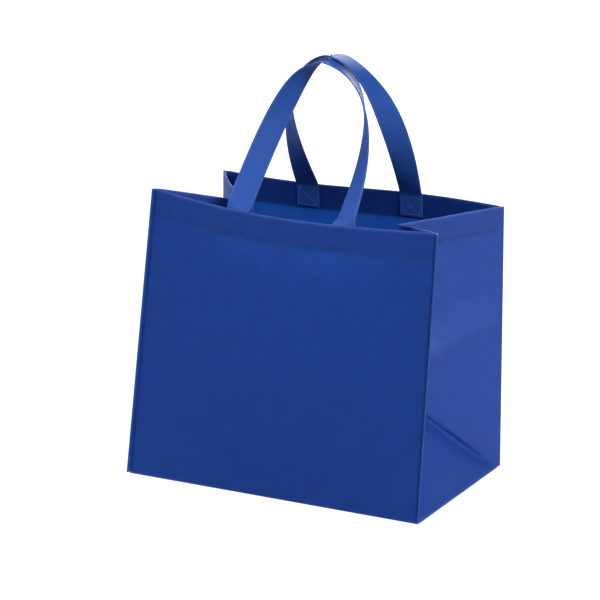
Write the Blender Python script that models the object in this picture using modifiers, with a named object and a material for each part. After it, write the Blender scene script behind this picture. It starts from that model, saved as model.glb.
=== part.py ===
"""A grocery tote bag in non-woven cloth, standing open with both handles held up.

The bag is cut and sewn from flat cloth. One long sheet makes the front, the base and the back. A gusset
closes each side and folds inwards along its middle, with a triangle of creases at its foot. Every top edge
is turned in as a hem. Two flat straps are sewn to the inside of the hem, and lean together until they
meet over the mouth. A loose board stiffens the base.

Metres, +Z up. The origin is the middle of the base, on the floor. -Y is the front.
"""

import math

import bmesh
import bpy
from mathutils import Vector

# Size over the seams, and of the cloth
WIDTH = 0.330
DEPTH = 0.229
HEIGHT = 0.300
CLOTH = 0.0006
HEM = 0.028
SEAM = 0.003
SEAM_SPREAD = math.radians(25.0)
BASE_FLAP = 0.010

# Where each rim corner has gone from straight above its base corner: right, in towards the mouth, down
CORNER_MOVES = {
    ("front", "left"): (0.0057, 0.0308, 0.0006),
    ("front", "right"): (0.0026, 0.0085, 0.0027),
    ("back", "left"): (0.0109, 0.0418, 0.0068),
    ("back", "right"): (0.0068, 0.0497, 0.0051),
}
# Where the top of each gusset's middle fold has gone from halfway between its rim corners: inwards, down
FOLD_TOP = {"left": (0.074, 0.016), "right": (0.077, 0.015)}
FOLD_FOOT_INSET = 0.063

# A soft ridge across one half of a gusset: height at the seam and at the middle fold, how far it stands
# out, and how far above and below it the cloth is lifted. It is full within a share of the half's width
# from either end, and near the seam its lower side is keener, down to a share of its reach
GUSSET_RIDGES = {
    ("right", "back"): (0.176, 0.146, 0.0070, 0.055, 0.030),
    ("right", "front"): (0.205, 0.165, 0.0025, 0.040, 0.050),
    ("left", "back"): (0.196, 0.158, 0.0030, 0.040, 0.050),
    ("left", "front"): (0.168, 0.150, 0.0025, 0.040, 0.055),
}
RIDGE_ONSET = 0.25
RIDGE_KEEN = 0.35
# How far the rim of each half bows outwards, and how far down the bow fades out
GUSSET_RIM_BOWS = {
    ("right", "back"): 0.0010,
    ("right", "front"): 0.0015,
    ("left", "back"): 0.0070,
    ("left", "front"): 0.0015,
}
RIM_BOW_REACH = 0.090
# The triangle at a gusset's foot is tucked in under its creases: how far in, how far below them, and the
# height over the base in which the tuck fades out
TUCK = 0.0075
TUCK_REACH = 0.006
TUCK_FADE = 0.030

# How the slack cloth stands away from flat
BELLY = 0.010
RIM_BOW = 0.006
FRONT_RIM_DIP = 0.009
FRONT_DIP_LEAN = 0.85
BACK_RIM_WAVE = 0.0022

# Straps. Each leg leaves the rim leaning in, and turns about its own length on its way to the peak. Pairs
# of values are for the left and the right leg, and turns are in degrees
STRAP_WIDTH = 0.0254
STRAP = 0.0015
STRAP_TAIL = 0.026
HANDLES = {
    "front": {
        "half_spacing": 0.0606, "middle": 0.0029, "peak": (-0.0074, 0.0046, 0.4361),
        "rise": 0.1684, "lean": 0.723, "out": (0.1108, -0.0248), "reach": (0.0167, 0.0122),
        "turn_at_rim": 25.7, "turn_power": 2.94, "turn_back": 17.4, "peak_turn": -6.8,
        "late_turn": (15.1, 6.7),
    },
    "back": {
        "half_spacing": 0.0597, "middle": 0.0090, "peak": (-0.0064, 0.0238, 0.4388),
        "rise": 0.1558, "lean": 0.317, "out": (0.1703, 0.0077), "reach": (0.0140, 0.0115),
        "turn_at_rim": -4.3, "turn_power": 2.44, "turn_back": -2.7, "peak_turn": 5.5,
        "late_turn": (18.2, 2.0),
    },
}
TURN_START = 0.010
LATE_POWER = 5

# Base board
BOARD = 0.002
BOARD_CORNER = 0.008
BOARD_CORNER_STEPS = 5
BOARD_END_ROOM = 0.006
BOARD_SIDE_ROOM = 0.005

# Clearances and folds
GAP = 0.0003
HEM_GAP = 0.0004
FOOT_FOLD = 0.0015
HEM_END_ROOM = 0.005
FLAP_END_ROOM = 0.004

# Grid steps
PANEL_COLUMNS = 24
PANEL_ROWS = 10
BASE_ROWS = 5
FOLD_STEPS = 3
HEM_ROWS = 2
GUSSET_HALF_STEPS = 9
GUSSET_UPPER_ROWS = 14
TAIL_ROWS = 4
LEG_ROWS = 30
STRAP_COLUMNS = 3
CURVE_STEPS = 400
HALVINGS = 40
SLOPE_STEP = 0.01

# What follows from them
LAP = CLOTH + GAP + HEM_GAP
HALF_WIDTH = WIDTH / 2 - SEAM * math.sin(SEAM_SPREAD)
HALF_DEPTH = DEPTH / 2 - SEAM * math.cos(SEAM_SPREAD)
PANEL_HALF = HALF_WIDTH - LAP
BASE_LEVEL = CLOTH / 2
FLAP_LEVEL = BASE_LEVEL + CLOTH + GAP
HEM_TURN = (CLOTH + HEM_GAP) / 2
STRAP_SEAT = 2 * HEM_TURN + CLOTH / 2 + GAP + STRAP / 2
OUTWARDS = {"front": -1.0, "back": 1.0}
SIDEWAYS = {"left": -1.0, "right": 1.0}

BLUE_FRONT = (0.012, 0.046, 0.246, 1.0)
BLUE_SIDE = (0.034, 0.083, 0.332, 1.0)
BLUE_STRAP = (0.055, 0.122, 0.402, 1.0)
BOARD_DARK = (0.010, 0.014, 0.030, 1.0)


def clear_scene():
    for obj in list(bpy.data.objects):
        bpy.data.objects.remove(obj)


def cloth_material(name, colour, roughness):
    material = bpy.data.materials.new(name)
    material.use_nodes = True
    shader = material.node_tree.nodes["Principled BSDF"]
    shader.inputs["Base Color"].default_value = colour
    shader.inputs["Roughness"].default_value = roughness
    shader.inputs["Metallic"].default_value = 0.0
    material.diffuse_color = colour
    return material


def smooth_step(t):
    t = min(max(t, 0.0), 1.0)
    return t * t * (3 - 2 * t)


def rim_corner(face, hand, half_width):
    """A rim corner of a piece that is 2 x half_width wide."""
    right, inwards, down = CORNER_MOVES[face, hand]
    x = SIDEWAYS[hand] * half_width + right
    y = OUTWARDS[face] * (HALF_DEPTH - inwards)
    return Vector((x, y, HEIGHT - down))


def panel_point(face, s, h):
    """The front or back panel: s runs left to right and h from the base up to the rim, both 0 to 1."""
    out = OUTWARDS[face]
    foot = Vector(((2 * s - 1) * PANEL_HALF, out * HALF_DEPTH, BASE_LEVEL))
    left = rim_corner(face, "left", PANEL_HALF)
    right = rim_corner(face, "right", PANEL_HALF)
    rim = left.lerp(right, s)
    middle = math.sin(math.pi * s)
    if face == "front":
        rim += Vector((0, out * RIM_BOW * middle, -FRONT_RIM_DIP * math.sin(math.pi * s ** FRONT_DIP_LEAN)))
    else:
        rim += Vector((0, 0, -BACK_RIM_WAVE * math.sin(2 * math.pi * s)))
    belly = BELLY * middle * math.sin(math.pi * h)
    return foot.lerp(rim, h) + Vector((0, out * belly, 0))


def gusset_corner(face, hand):
    return Vector((SIDEWAYS[hand] * HALF_WIDTH, OUTWARDS[face] * HALF_DEPTH, FLAP_LEVEL))


def gusset_fold(hand):
    """Foot and top of the gusset's middle fold."""
    side = SIDEWAYS[hand]
    rise = math.sqrt(HALF_DEPTH ** 2 - FOLD_FOOT_INSET ** 2)
    foot = Vector((side * (HALF_WIDTH - FOLD_FOOT_INSET), 0, FLAP_LEVEL + rise))
    front = rim_corner("front", hand, HALF_WIDTH)
    back = rim_corner("back", hand, HALF_WIDTH)
    inwards, down = FOLD_TOP[hand]
    top = (front + back) / 2 + Vector((-side * inwards, 0, -down))
    return foot, top


def slack(hand, face, share, up):
    """How a gusset's ridge and bowed rim move a point, share of the way from the seam to the middle fold."""
    at_seam, at_fold, out, above, below = GUSSET_RIDGES[hand, face]
    away = up - (at_seam + (at_fold - at_seam) * share)
    reach = above if away > 0 else below * (RIDGE_KEEN + (1 - RIDGE_KEEN) * smooth_step(2 * share))
    rise = out * smooth_step(1 - abs(away) / reach) * smooth_step(min(share, 1 - share) / RIDGE_ONSET)
    bow = GUSSET_RIM_BOWS[hand, face] * math.sin(math.pi * share)
    rise += bow * smooth_step(1 - (HEIGHT - up) / RIM_BOW_REACH)
    return Vector((SIDEWAYS[hand], -OUTWARDS[face], 0)).normalized() * rise


def triangle_tuck(hand, below, up):
    """How far the triangle is tucked in, below its creases, fading out towards the base."""
    near = below / TUCK_REACH
    depth = TUCK * near * math.exp(1 - near) * smooth_step(up / TUCK_FADE)
    return Vector((-SIDEWAYS[hand] * depth, 0, 0))


def gusset_point(hand, across, up):
    """The gusset by its flat pattern: across from -HALF_DEPTH at the front, up from the base."""
    half = HALF_DEPTH
    face = "front" if across < 0 else "back"
    foot, top = gusset_fold(hand)
    front, back = gusset_corner("front", hand), gusset_corner("back", hand)
    if up <= half - abs(across):
        middle = (front + back) / 2
        flat = front.lerp(back, (across + half) / (2 * half)) + (foot - middle) * (up / half)
        return flat + triangle_tuck(hand, (half - abs(across) - up) / math.sqrt(2), up)
    share = 1 - abs(across) / half
    start = gusset_corner(face, hand).lerp(foot, share)
    end = rim_corner(face, hand, HALF_WIDTH).lerp(top, share)
    crease = share * half
    return start.lerp(end, (up - crease) / (HEIGHT - crease)) + slack(hand, face, share, up)


def seam_direction(face, hand):
    """The way the two raw edges stand out where a gusset is stitched to a panel."""
    x = SIDEWAYS[hand] * math.sin(SEAM_SPREAD)
    return Vector((x, OUTWARDS[face] * math.cos(SEAM_SPREAD), 0))


def turned_rim(rim, below, inner):
    """The hem's fold and inner layer, from the rim down.

    rim and below are rows of points, on the edge and a little way under it. inner lists the rows of the
    outer layer that the inner one lies against, from the rim down.
    """
    rows = []
    inwards = row_normals(rim, below)
    ups = [(a - b).normalized() for a, b in zip(rim, below)]
    for step in range(1, FOLD_STEPS):
        angle = math.pi * step / FOLD_STEPS
        aside, above = HEM_TURN * (1 - math.cos(angle)), HEM_TURN * math.sin(angle)
        rows.append([p + n * aside + u * above for p, n, u in zip(rim, inwards, ups)])
    for row in inner:
        rows.append([p + n * 2 * HEM_TURN for p, n in zip(row, inwards)])
    return rows


def row_normals(rim, below):
    """For each point of a rim, the direction into the bag, longer at a fold so that layers stay parallel."""
    faces = []
    for i in range(len(rim) - 1):
        along = rim[i + 1] - rim[i]
        down = (below[i] + below[i + 1] - rim[i] - rim[i + 1]) / 2
        faces.append(along.cross(down).normalized())
    normals = [faces[0]]
    for a, b in zip(faces, faces[1:]):
        normals.append((a + b) / (1 + a.dot(b)))
    normals.append(faces[-1])
    return normals


def squeezed(count, room, length):
    """Shares from 0 to 1 in count steps, drawn in so that room is left free at both ends."""
    return [room / length + (1 - 2 * room / length) * i / count for i in range(count + 1)]


def sheet(name, rows, cut, thickness, material, creases=()):
    """A cloth sheet: a grid whose points lie along rows, thickened evenly to both sides.

    cut says of a cell (column, row) whether it is left out. creases lists pairs of grid points
    ((column, row), (column, row)) that a fold line joins across a cell.
    """
    columns, lines = len(rows[0]) - 1, len(rows) - 1
    bm = bmesh.new()
    bmesh.ops.create_grid(bm, x_segments=columns, y_segments=lines, size=0.5)
    place = {}
    for vert in bm.verts:
        place[round((vert.co.x + 0.5) * columns), round((vert.co.y + 0.5) * lines)] = vert
    gone = []
    for face in bm.faces:
        middle = face.calc_center_median()
        if cut(int((middle.x + 0.5) * columns), int((middle.y + 0.5) * lines)):
            gone.append(face)
    for (column, line), vert in place.items():
        vert.co = rows[line][column]
    bmesh.ops.delete(bm, geom=gone, context="FACES")
    for a, b in creases:
        bmesh.ops.connect_verts(bm, verts=[place[a], place[b]])
    mesh = bpy.data.meshes.new(name)
    bm.to_mesh(mesh)
    bm.free()
    mesh.materials.append(material)
    obj = bpy.data.objects.new(name, mesh)
    parts.objects.link(obj)
    solid = obj.modifiers.new("Cloth thickness", "SOLIDIFY")
    solid.thickness = thickness
    solid.offset = 0.0
    solid.use_even_offset = True
    solid.use_quality_normals = True
    return obj


def panel_rows(face):
    """One panel's rows from just over the foot fold up to the rim, then over it and down inside."""
    foot = FOOT_FOLD / HEIGHT
    heights = [foot + (1 - foot) * i / PANEL_ROWS for i in range(PANEL_ROWS + 1)]
    heights.insert(-1, 1 - HEM / HEIGHT)
    heights.sort()
    shares = [i / PANEL_COLUMNS for i in range(PANEL_COLUMNS + 1)]
    rows = []
    for h in heights:
        row = [panel_point(face, s, h) for s in shares]
        left = row[0] + SEAM * seam_direction(face, "left")
        right = row[-1] + SEAM * seam_direction(face, "right")
        rows.append([left, *row, right])
    drawn_in = squeezed(PANEL_COLUMNS, HEM_END_ROOM, 2 * PANEL_HALF)
    levels = [1.0, *(1 - HEM * i / HEM_ROWS / HEIGHT for i in range(1, HEM_ROWS + 1))]
    inner = [[panel_point(face, s, h) for s in drawn_in] for h in levels]
    rim = inner[0]
    below = [panel_point(face, s, 1 - CLOTH / HEIGHT) for s in drawn_in]
    if face == "back":
        rim, below, inner = rim[::-1], below[::-1], [row[::-1] for row in inner]
    turned = turned_rim(rim, below, inner)
    if face == "back":
        turned = [row[::-1] for row in turned]
    rows += [[row[0], *row, row[-1]] for row in turned]
    return rows


def foot_fold(face):
    """The rounded fold between a panel and the base, from the base's side up."""
    out = OUTWARDS[face]
    rows = []
    for step in range(FOLD_STEPS):
        angle = math.pi / 2 * step / FOLD_STEPS
        y = out * (HALF_DEPTH - FOOT_FOLD + FOOT_FOLD * math.sin(angle))
        z = BASE_LEVEL + FOOT_FOLD * (1 - math.cos(angle))
        row = []
        for i in range(PANEL_COLUMNS + 1):
            row.append(Vector(((2 * i / PANEL_COLUMNS - 1) * PANEL_HALF, y, z)))
        rows.append([row[0], *row, row[-1]])
    return rows


def body_panel(material):
    """Front, base and back in one sheet, from the front hem's inner edge round to the back's."""
    front, back = panel_rows("front"), panel_rows("back")
    near, far = foot_fold("front"), foot_fold("back")
    base = []
    for i in range(1, BASE_ROWS):
        base.append([a.lerp(b, i / BASE_ROWS) for a, b in zip(near[0], far[0])])
    rows = front[::-1] + near[::-1] + base + far + back
    last = PANEL_COLUMNS + 1
    upright = PANEL_ROWS + 1
    turned = FOLD_STEPS - 1 + HEM_ROWS + 1
    top = len(rows) - 1

    def cut(column, row):
        """The seam edges exist only beside the upright, outer layers."""
        from_edge = min(row, top - 1 - row)
        return column in (0, last) and not turned <= from_edge < turned + upright

    return sheet("body_panel", rows, cut, CLOTH, material)


def gusset(hand, material):
    """A side gusset: flap on the base, triangle of creases, two upper halves, seam edges and hem."""
    half = HALF_DEPTH
    marks = sorted([half * i / GUSSET_HALF_STEPS for i in range(GUSSET_HALF_STEPS + 1)] + [FLAP_END_ROOM])
    across = [mark - half for mark in marks] + [half - mark for mark in marks[-2::-1]]
    ups = [half + (HEIGHT - half) * i / GUSSET_UPPER_ROWS for i in range(1, GUSSET_UPPER_ROWS + 1)]
    ups = sorted([*marks, *ups, HEIGHT - HEM])
    side = SIDEWAYS[hand]
    flap = [Vector((side * (HALF_WIDTH - BASE_FLAP), a, FLAP_LEVEL)) for a in across]
    rows = [[flap[0], *flap, flap[-1]]]
    for up in ups:
        row = [gusset_point(hand, a, up) for a in across]
        near = row[0] + SEAM * seam_direction("front", hand)
        far = row[-1] + SEAM * seam_direction("back", hand)
        rows.append([near, *row, far])
    drawn_in = [a * (1 - HEM_END_ROOM / half) for a in across]
    levels = [HEIGHT - HEM * i / HEM_ROWS for i in range(HEM_ROWS + 1)]
    inner = [[gusset_point(hand, p, up) for p in drawn_in] for up in levels]
    rim = inner[0]
    below = [gusset_point(hand, p, HEIGHT - CLOTH) for p in drawn_in]
    if hand == "left":
        rim, below, inner = rim[::-1], below[::-1], [row[::-1] for row in inner]
    turned = turned_rim(rim, below, inner)
    if hand == "left":
        turned = [row[::-1] for row in turned]
    rows += [[row[0], *row, row[-1]] for row in turned]
    last = len(across)
    upright = len(ups) - 1
    creases = []
    for i in range(len(marks) - 1):
        for j in range(i + 1):
            creases.append(((1 + i, 1 + j), (2 + i, 2 + j)))
            creases.append(((last - i, 1 + j), (last - 1 - i, 2 + j)))

    def cut(column, row):
        """Seam edges beside the outer layer only, and a flap that stops short of the corners."""
        if row == 0:
            return column <= 1 or column >= last - 1
        return column in (0, last) and row > upright

    return sheet(hand + "_gusset", rows, cut, CLOTH, material, creases)


def panel_frame(face, x, h):
    """The panel's point at x and height share h, its directions right and up, and the one into the bag."""
    low, high = 0.0, 1.0
    for _ in range(HALVINGS):
        s = (low + high) / 2
        if panel_point(face, s, h).x < x:
            low = s
        else:
            high = s
    right = (panel_point(face, s + SLOPE_STEP, h) - panel_point(face, s - SLOPE_STEP, h)).normalized()
    up = (panel_point(face, s, 1) - panel_point(face, s, 1 - HEM / HEIGHT)).normalized()
    inwards = up.cross(right).normalized() * -OUTWARDS[face]
    return panel_point(face, s, h), right, up, inwards


def cubic(control, t):
    """Point and tangent of a Bezier curve at t."""
    steps = [b - a for a, b in zip(control, control[1:])]
    weights = ((1 - t) ** 3, 3 * (1 - t) ** 2 * t, 3 * (1 - t) * t * t, t ** 3)
    slopes = ((1 - t) ** 2, 2 * (1 - t) * t, t * t)
    point = sum((p * w for p, w in zip(control, weights)), Vector())
    return point, sum((p * w for p, w in zip(steps, slopes)), Vector()).normalized()


def even_steps(control, count):
    """The curve's parameter at count + 1 places that are evenly spaced along it."""
    points = [cubic(control, i / CURVE_STEPS)[0] for i in range(CURVE_STEPS + 1)]
    lengths = [0.0]
    for a, b in zip(points, points[1:]):
        lengths.append(lengths[-1] + (b - a).length)
    places = [0.0]
    i = 0
    for step in range(1, count):
        goal = lengths[-1] * step / count
        while lengths[i + 1] < goal:
            i += 1
        places.append((i + (goal - lengths[i]) / (lengths[i + 1] - lengths[i])) / CURVE_STEPS)
    return [*places, 1.0]


def leg_rows(face, hand):
    """One leg of a handle as (middle, direction of its width), from its sewn tail up to the peak."""
    shape = HANDLES[face]
    side, out = SIDEWAYS[hand], OUTWARDS[face]
    side_index = 0 if hand == "left" else 1
    x = shape["middle"] + side * shape["half_spacing"]
    rows = []
    for i in range(TAIL_ROWS):
        h = 1 - STRAP_TAIL / HEIGHT * (1 - i / TAIL_ROWS)
        point, right, up, inwards = panel_frame(face, x, h)
        rows.append((point + inwards * STRAP_SEAT, right))
    point, right, up, inwards = panel_frame(face, x, 1)
    seat = point + inwards * STRAP_SEAT
    start = (up + inwards * shape["lean"] + right * side * shape["out"][side_index]).normalized()
    peak = Vector(shape["peak"])
    control = (
        seat,
        seat + start * shape["rise"],
        peak + Vector((side * shape["reach"][side_index], 0, 0)),
        peak,
    )
    at_rim = math.radians(shape["turn_at_rim"])
    at_peak = math.pi / 2 - side * math.radians(shape["peak_turn"])
    late = math.radians(shape["late_turn"][side_index])
    back = math.radians(shape["turn_back"])
    for t in even_steps(control, LEG_ROWS):
        middle, tangent = cubic(control, t)
        turn = at_rim + (at_peak - at_rim) * (1 - (1 - t) ** shape["turn_power"])
        turn += late * math.sin(math.pi * t ** LATE_POWER) - back * math.sin(math.pi * t)
        free = smooth_step((middle - seat).length / TURN_START)
        width = right * math.cos(free * turn) + Vector((0, out * side, 0)) * math.sin(free * turn)
        width = (width - tangent * width.dot(tangent) * free).normalized()
        rows.append((middle, width))
    return rows


def handle(face, material):
    """A strap from one sewn tail, up and over the peak, and down to the other."""
    left, right = leg_rows(face, "left"), leg_rows(face, "right")
    over = [(middle, -width) for middle, width in right[:-1]]
    if left[-1][1].dot(over[-1][1]) < 0:
        over = [(middle, -width) for middle, width in over]
    spine = left + over[::-1]
    rows = []
    for middle, width in spine:
        row = []
        for i in range(STRAP_COLUMNS + 1):
            row.append(middle + width * STRAP_WIDTH * (i / STRAP_COLUMNS - 0.5))
        rows.append(row)
    return sheet(face + "_handle", rows, lambda column, row: False, STRAP, material)


def base_board(material):
    """The loose stiffener, with rounded corners, on the gussets' flaps."""
    bm = bmesh.new()
    bmesh.ops.create_cube(bm, size=1.0)
    size = (WIDTH - 2 * BOARD_END_ROOM, DEPTH - 2 * BOARD_SIDE_ROOM, BOARD)
    bmesh.ops.scale(bm, vec=size, verts=bm.verts)
    uprights = [e for e in bm.edges if abs(e.verts[0].co.z - e.verts[1].co.z) > BOARD / 2]
    bmesh.ops.bevel(bm, geom=uprights, offset=BOARD_CORNER, segments=BOARD_CORNER_STEPS, profile=0.5,
                     affect="EDGES")
    mesh = bpy.data.meshes.new("base_board")
    bm.to_mesh(mesh)
    bm.free()
    mesh.materials.append(material)
    obj = bpy.data.objects.new("base_board", mesh)
    obj.location.z = FLAP_LEVEL + CLOTH / 2 + GAP + BOARD / 2
    parts.objects.link(obj)
    return obj


clear_scene()
parts = bpy.data.collections.new("grocery_tote_bag")
bpy.context.scene.collection.children.link(parts)

front_cloth = cloth_material("blue_panel_cloth", BLUE_FRONT, 0.75)
side_cloth = cloth_material("blue_gusset_cloth", BLUE_SIDE, 0.75)
strap_cloth = cloth_material("blue_strap", BLUE_STRAP, 0.7)
board = cloth_material("dark_board", BOARD_DARK, 0.6)

body_panel(front_cloth)
for hand_name in ("left", "right"):
    gusset(hand_name, side_cloth)
base_board(board)
for face_name in ("front", "back"):
    handle(face_name, strap_cloth)
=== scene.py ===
# %% [markdown]
# # A grocery tote bag in non-woven cloth
#
# This lesson dresses a finished CAD bag in cloth that looks real. The CAD has the true size and shape, but
# its cloth is plain and its grid is coarse. Here every piece is cut and folded again on a fine grid, and
# then gets what a camera sees from close by: hems that are pressed and stitched, folds that are paler,
# partly from wear and partly as painted highlight, slack cloth that ripples, and the pressed dots of
# spun cloth.

import math

import bmesh
import bpy
from mathutils import Matrix, Vector, noise


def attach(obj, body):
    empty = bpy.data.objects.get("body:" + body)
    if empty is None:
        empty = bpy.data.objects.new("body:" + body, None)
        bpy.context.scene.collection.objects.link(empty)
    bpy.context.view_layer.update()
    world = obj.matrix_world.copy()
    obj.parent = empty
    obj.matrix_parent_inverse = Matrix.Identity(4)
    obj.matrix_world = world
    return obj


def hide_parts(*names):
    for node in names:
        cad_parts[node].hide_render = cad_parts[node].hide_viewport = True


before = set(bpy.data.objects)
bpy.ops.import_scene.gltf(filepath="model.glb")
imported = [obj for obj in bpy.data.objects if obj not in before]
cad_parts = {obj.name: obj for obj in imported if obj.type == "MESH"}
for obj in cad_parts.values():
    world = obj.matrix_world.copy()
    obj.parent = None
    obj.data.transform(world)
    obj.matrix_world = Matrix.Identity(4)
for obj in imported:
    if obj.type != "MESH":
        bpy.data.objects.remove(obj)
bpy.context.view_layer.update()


def brief(values, digits=4):
    return [round(v, digits) for v in values]


# %% [markdown]
# ## The camera
#
# The photograph was taken from a little to the right of the front and from above. The camera stands
# three metres away on that line of sight. Its long lens keeps the sides of a box nearly parallel, as in
# the photograph, where a short lens close by would spread them.

# %% Place the camera
VIEW_FROM_RIGHT = math.radians(24.28)
VIEW_FROM_ABOVE = math.radians(14.13)
VIEW_ROLL = math.radians(2.15)
VIEW_DISTANCE = 3.0
VIEW_TARGET = Vector((-0.0253, 0, 0.1820))
LENS, SENSOR = 172.14, 36
FARTHEST_SEEN = 100
UP = Vector((0, 0, 1))


def placed(name, data):
    """A new object that holds data, in the scene."""
    obj = bpy.data.objects.new(name, data)
    bpy.context.scene.collection.objects.link(obj)
    return obj


def place_camera():
    """Looks at the target from the given side and height, rolled a little."""
    level = math.cos(VIEW_FROM_ABOVE)
    aside, ahead = math.sin(VIEW_FROM_RIGHT) * level, math.cos(VIEW_FROM_RIGHT) * level
    back = Vector((aside, -ahead, math.sin(VIEW_FROM_ABOVE)))
    right = Matrix.Rotation(VIEW_ROLL, 3, back) @ UP.cross(back).normalized()
    turn = Matrix((right, back.cross(right), back)).transposed().to_4x4()
    camera = placed("camera", bpy.data.cameras.new("camera"))
    camera.matrix_world = Matrix.Translation(VIEW_TARGET + back * VIEW_DISTANCE) @ turn
    camera.data.lens = LENS
    camera.data.sensor_width = SENSOR
    camera.data.clip_end = FARTHEST_SEEN
    bpy.context.scene.camera = camera
    return camera


print("camera stands at", brief(place_camera().location, 3))

# %% [markdown]
# ## The sizes of the bag
#
# A sewn bag is described by the cloth it was cut from: its width, depth and height, and what goes into
# hems and seams. Slack cloth then moves: each corner of the rim has drawn in towards the mouth, because
# the gussets fold inwards. These are the CAD's own values, written again.

# %% Sizes in metres
WIDTH, DEPTH, HEIGHT = 0.330, 0.229, 0.300
CLOTH, HEM = 0.0006, 0.028
SEAM, SEAM_SPREAD = 0.003, math.radians(25.0)
BASE_FLAP, FOOT_FOLD = 0.010, 0.0015
GAP, HEM_GAP = 0.0003, 0.0004
HEM_END_ROOM, FLAP_END_ROOM = 0.005, 0.004

# Where each rim corner has gone from straight above its base corner: right, in towards the mouth, down
CORNER_MOVES = {
    ("front", "left"): (0.0057, 0.0308, 0.0006),
    ("front", "right"): (0.0026, 0.0085, 0.0027),
    ("back", "left"): (0.0109, 0.0418, 0.0068),
    ("back", "right"): (0.0068, 0.0497, 0.0051),
}
# Where the top of each middle fold has gone from halfway between its rim corners: inwards, down
FOLD_TOP = {"left": (0.074, 0.016), "right": (0.077, 0.015)}
FOLD_FOOT_INSET = 0.063
# For each half of a gusset, the ridge across it (height at seam and at fold, how far it stands out, its
# reach above and below) and how far its rim bows outwards
GUSSET_SLACK = {
    ("right", "back"): (0.176, 0.146, 0.0070, 0.055, 0.030, 0.0010),
    ("right", "front"): (0.205, 0.165, 0.0025, 0.040, 0.050, 0.0015),
    ("left", "back"): (0.196, 0.158, 0.0030, 0.040, 0.050, 0.0070),
    ("left", "front"): (0.168, 0.150, 0.0025, 0.040, 0.055, 0.0015),
}
RIDGE_ONSET, RIDGE_KEEN, RIM_BOW_REACH = 0.25, 0.35, 0.090
TUCK, TUCK_REACH, TUCK_FADE = 0.0075, 0.006, 0.030
BELLY, RIM_BOW = 0.010, 0.006
FRONT_RIM_DIP, FRONT_DIP_LEAN, BACK_RIM_WAVE = 0.009, 0.85, 0.0022

LAP = CLOTH + GAP + HEM_GAP
HALF_WIDTH = WIDTH / 2 - SEAM * math.sin(SEAM_SPREAD)
HALF_DEPTH = DEPTH / 2 - SEAM * math.cos(SEAM_SPREAD)
PANEL_HALF = HALF_WIDTH - LAP
BASE_LEVEL = CLOTH / 2
FLAP_LEVEL = BASE_LEVEL + CLOTH + GAP
HEM_TURN = (CLOTH + HEM_GAP) / 2
OUTWARDS = {"front": -1.0, "back": 1.0}
SIDEWAYS = {"left": -1.0, "right": 1.0}
RIM = HALF_DEPTH + HEIGHT
print("the long sheet is", round(2 * PANEL_HALF + 2 * SEAM, 4), "by", round(2 * (RIM + HEM), 4))

# %% [markdown]
# ## How slack cloth lies
#
# Cloth that is held at its seams never lies quite flat. Three things show on such a bag: a broad
# belly between the seams, low ripples as wide as a hand, and small puckers where a line of stitches has
# drawn the cloth up. A cloth simulation would find such shapes by itself, but the bag's shape is already
# known, so smooth waves in code keep it exact. Perlin noise gives the ripples: it looks random, and is
# always the same for the same place.

# %% Ripples and puckers
STITCH_DOWN = 0.0245
STITCH_DIP, STITCH_DIP_REACH = 0.00017, 0.0016
PUCKER, PUCKER_REACH, PUCKER_LENGTH, PUCKER_HEIGHT = 0.00010, 0.0055, 0.011, 0.03
STITCH_ONSET = 0.01
PANEL_RIPPLE, PANEL_RIPPLE_SIZE = 0.0007, 0.085
GUSSET_RIPPLE, GUSSET_RIPPLE_SIZE = 0.0014, 0.055
FINER, FINER_SHARE, FINER_SEED = 2.3, 0.4, 7

# How far ripples keep away from seams, foot and rim, and how soon beyond that they are at full height
SEAM_EASE = 0.04
PANEL_FOOT_EASE = 0.15
GUSSET_FOOT_ROOM, GUSSET_FOOT_EASE = 0.02, 0.05
RIM_ROOM, PANEL_RIM_EASE, GUSSET_RIM_EASE = 0.03, 0.05, 0.04


def smooth_step(t):
    t = min(max(t, 0.0), 1.0)
    return t * t * (3 - 2 * t)


def ripple(u, v, size, seed):
    """Low waves of the given size over the flat cloth, from -1 to 1."""
    broad = noise.noise(Vector((u / size, v / size, seed)))
    fine = noise.noise(Vector((u / size * FINER, v / size * FINER, seed + FINER_SEED)))
    return broad + FINER_SHARE * fine


def stitch_pull(below_rim, along, seed):
    """How far a line of stitches has pulled the cloth in, with the small puckers beside it."""
    away = (below_rim - STITCH_DOWN) / STITCH_DIP_REACH
    wide = (below_rim - STITCH_DOWN) / PUCKER_REACH
    pucker = noise.noise(Vector((along / PUCKER_LENGTH, below_rim / PUCKER_HEIGHT, seed)))
    return STITCH_DIP * math.exp(-away * away) + PUCKER * pucker * math.exp(-wide * wide)


print("ripples up to", PANEL_RIPPLE * 1000, "mm on the panels and", GUSSET_RIPPLE * 1000, "mm on the gussets")

# %% [markdown]
# ## Points on the bag
#
# Every piece of cloth gets one function that answers: where is this point of the flat cloth, now that it
# is sewn up? A panel blends a straight foot into a rim that dips and bows. A gusset blends the folded
# triangle at its foot into two upper halves that lean in. From such a function any grid can be as fine
# as it needs to be, and stitches find their place on the same surface.

# %% The front and back panels
def rim_corner(face, hand, half_width):
    right, inwards, down = CORNER_MOVES[face, hand]
    x = SIDEWAYS[hand] * half_width + right
    return Vector((x, OUTWARDS[face] * (HALF_DEPTH - inwards), HEIGHT - down))


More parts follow.
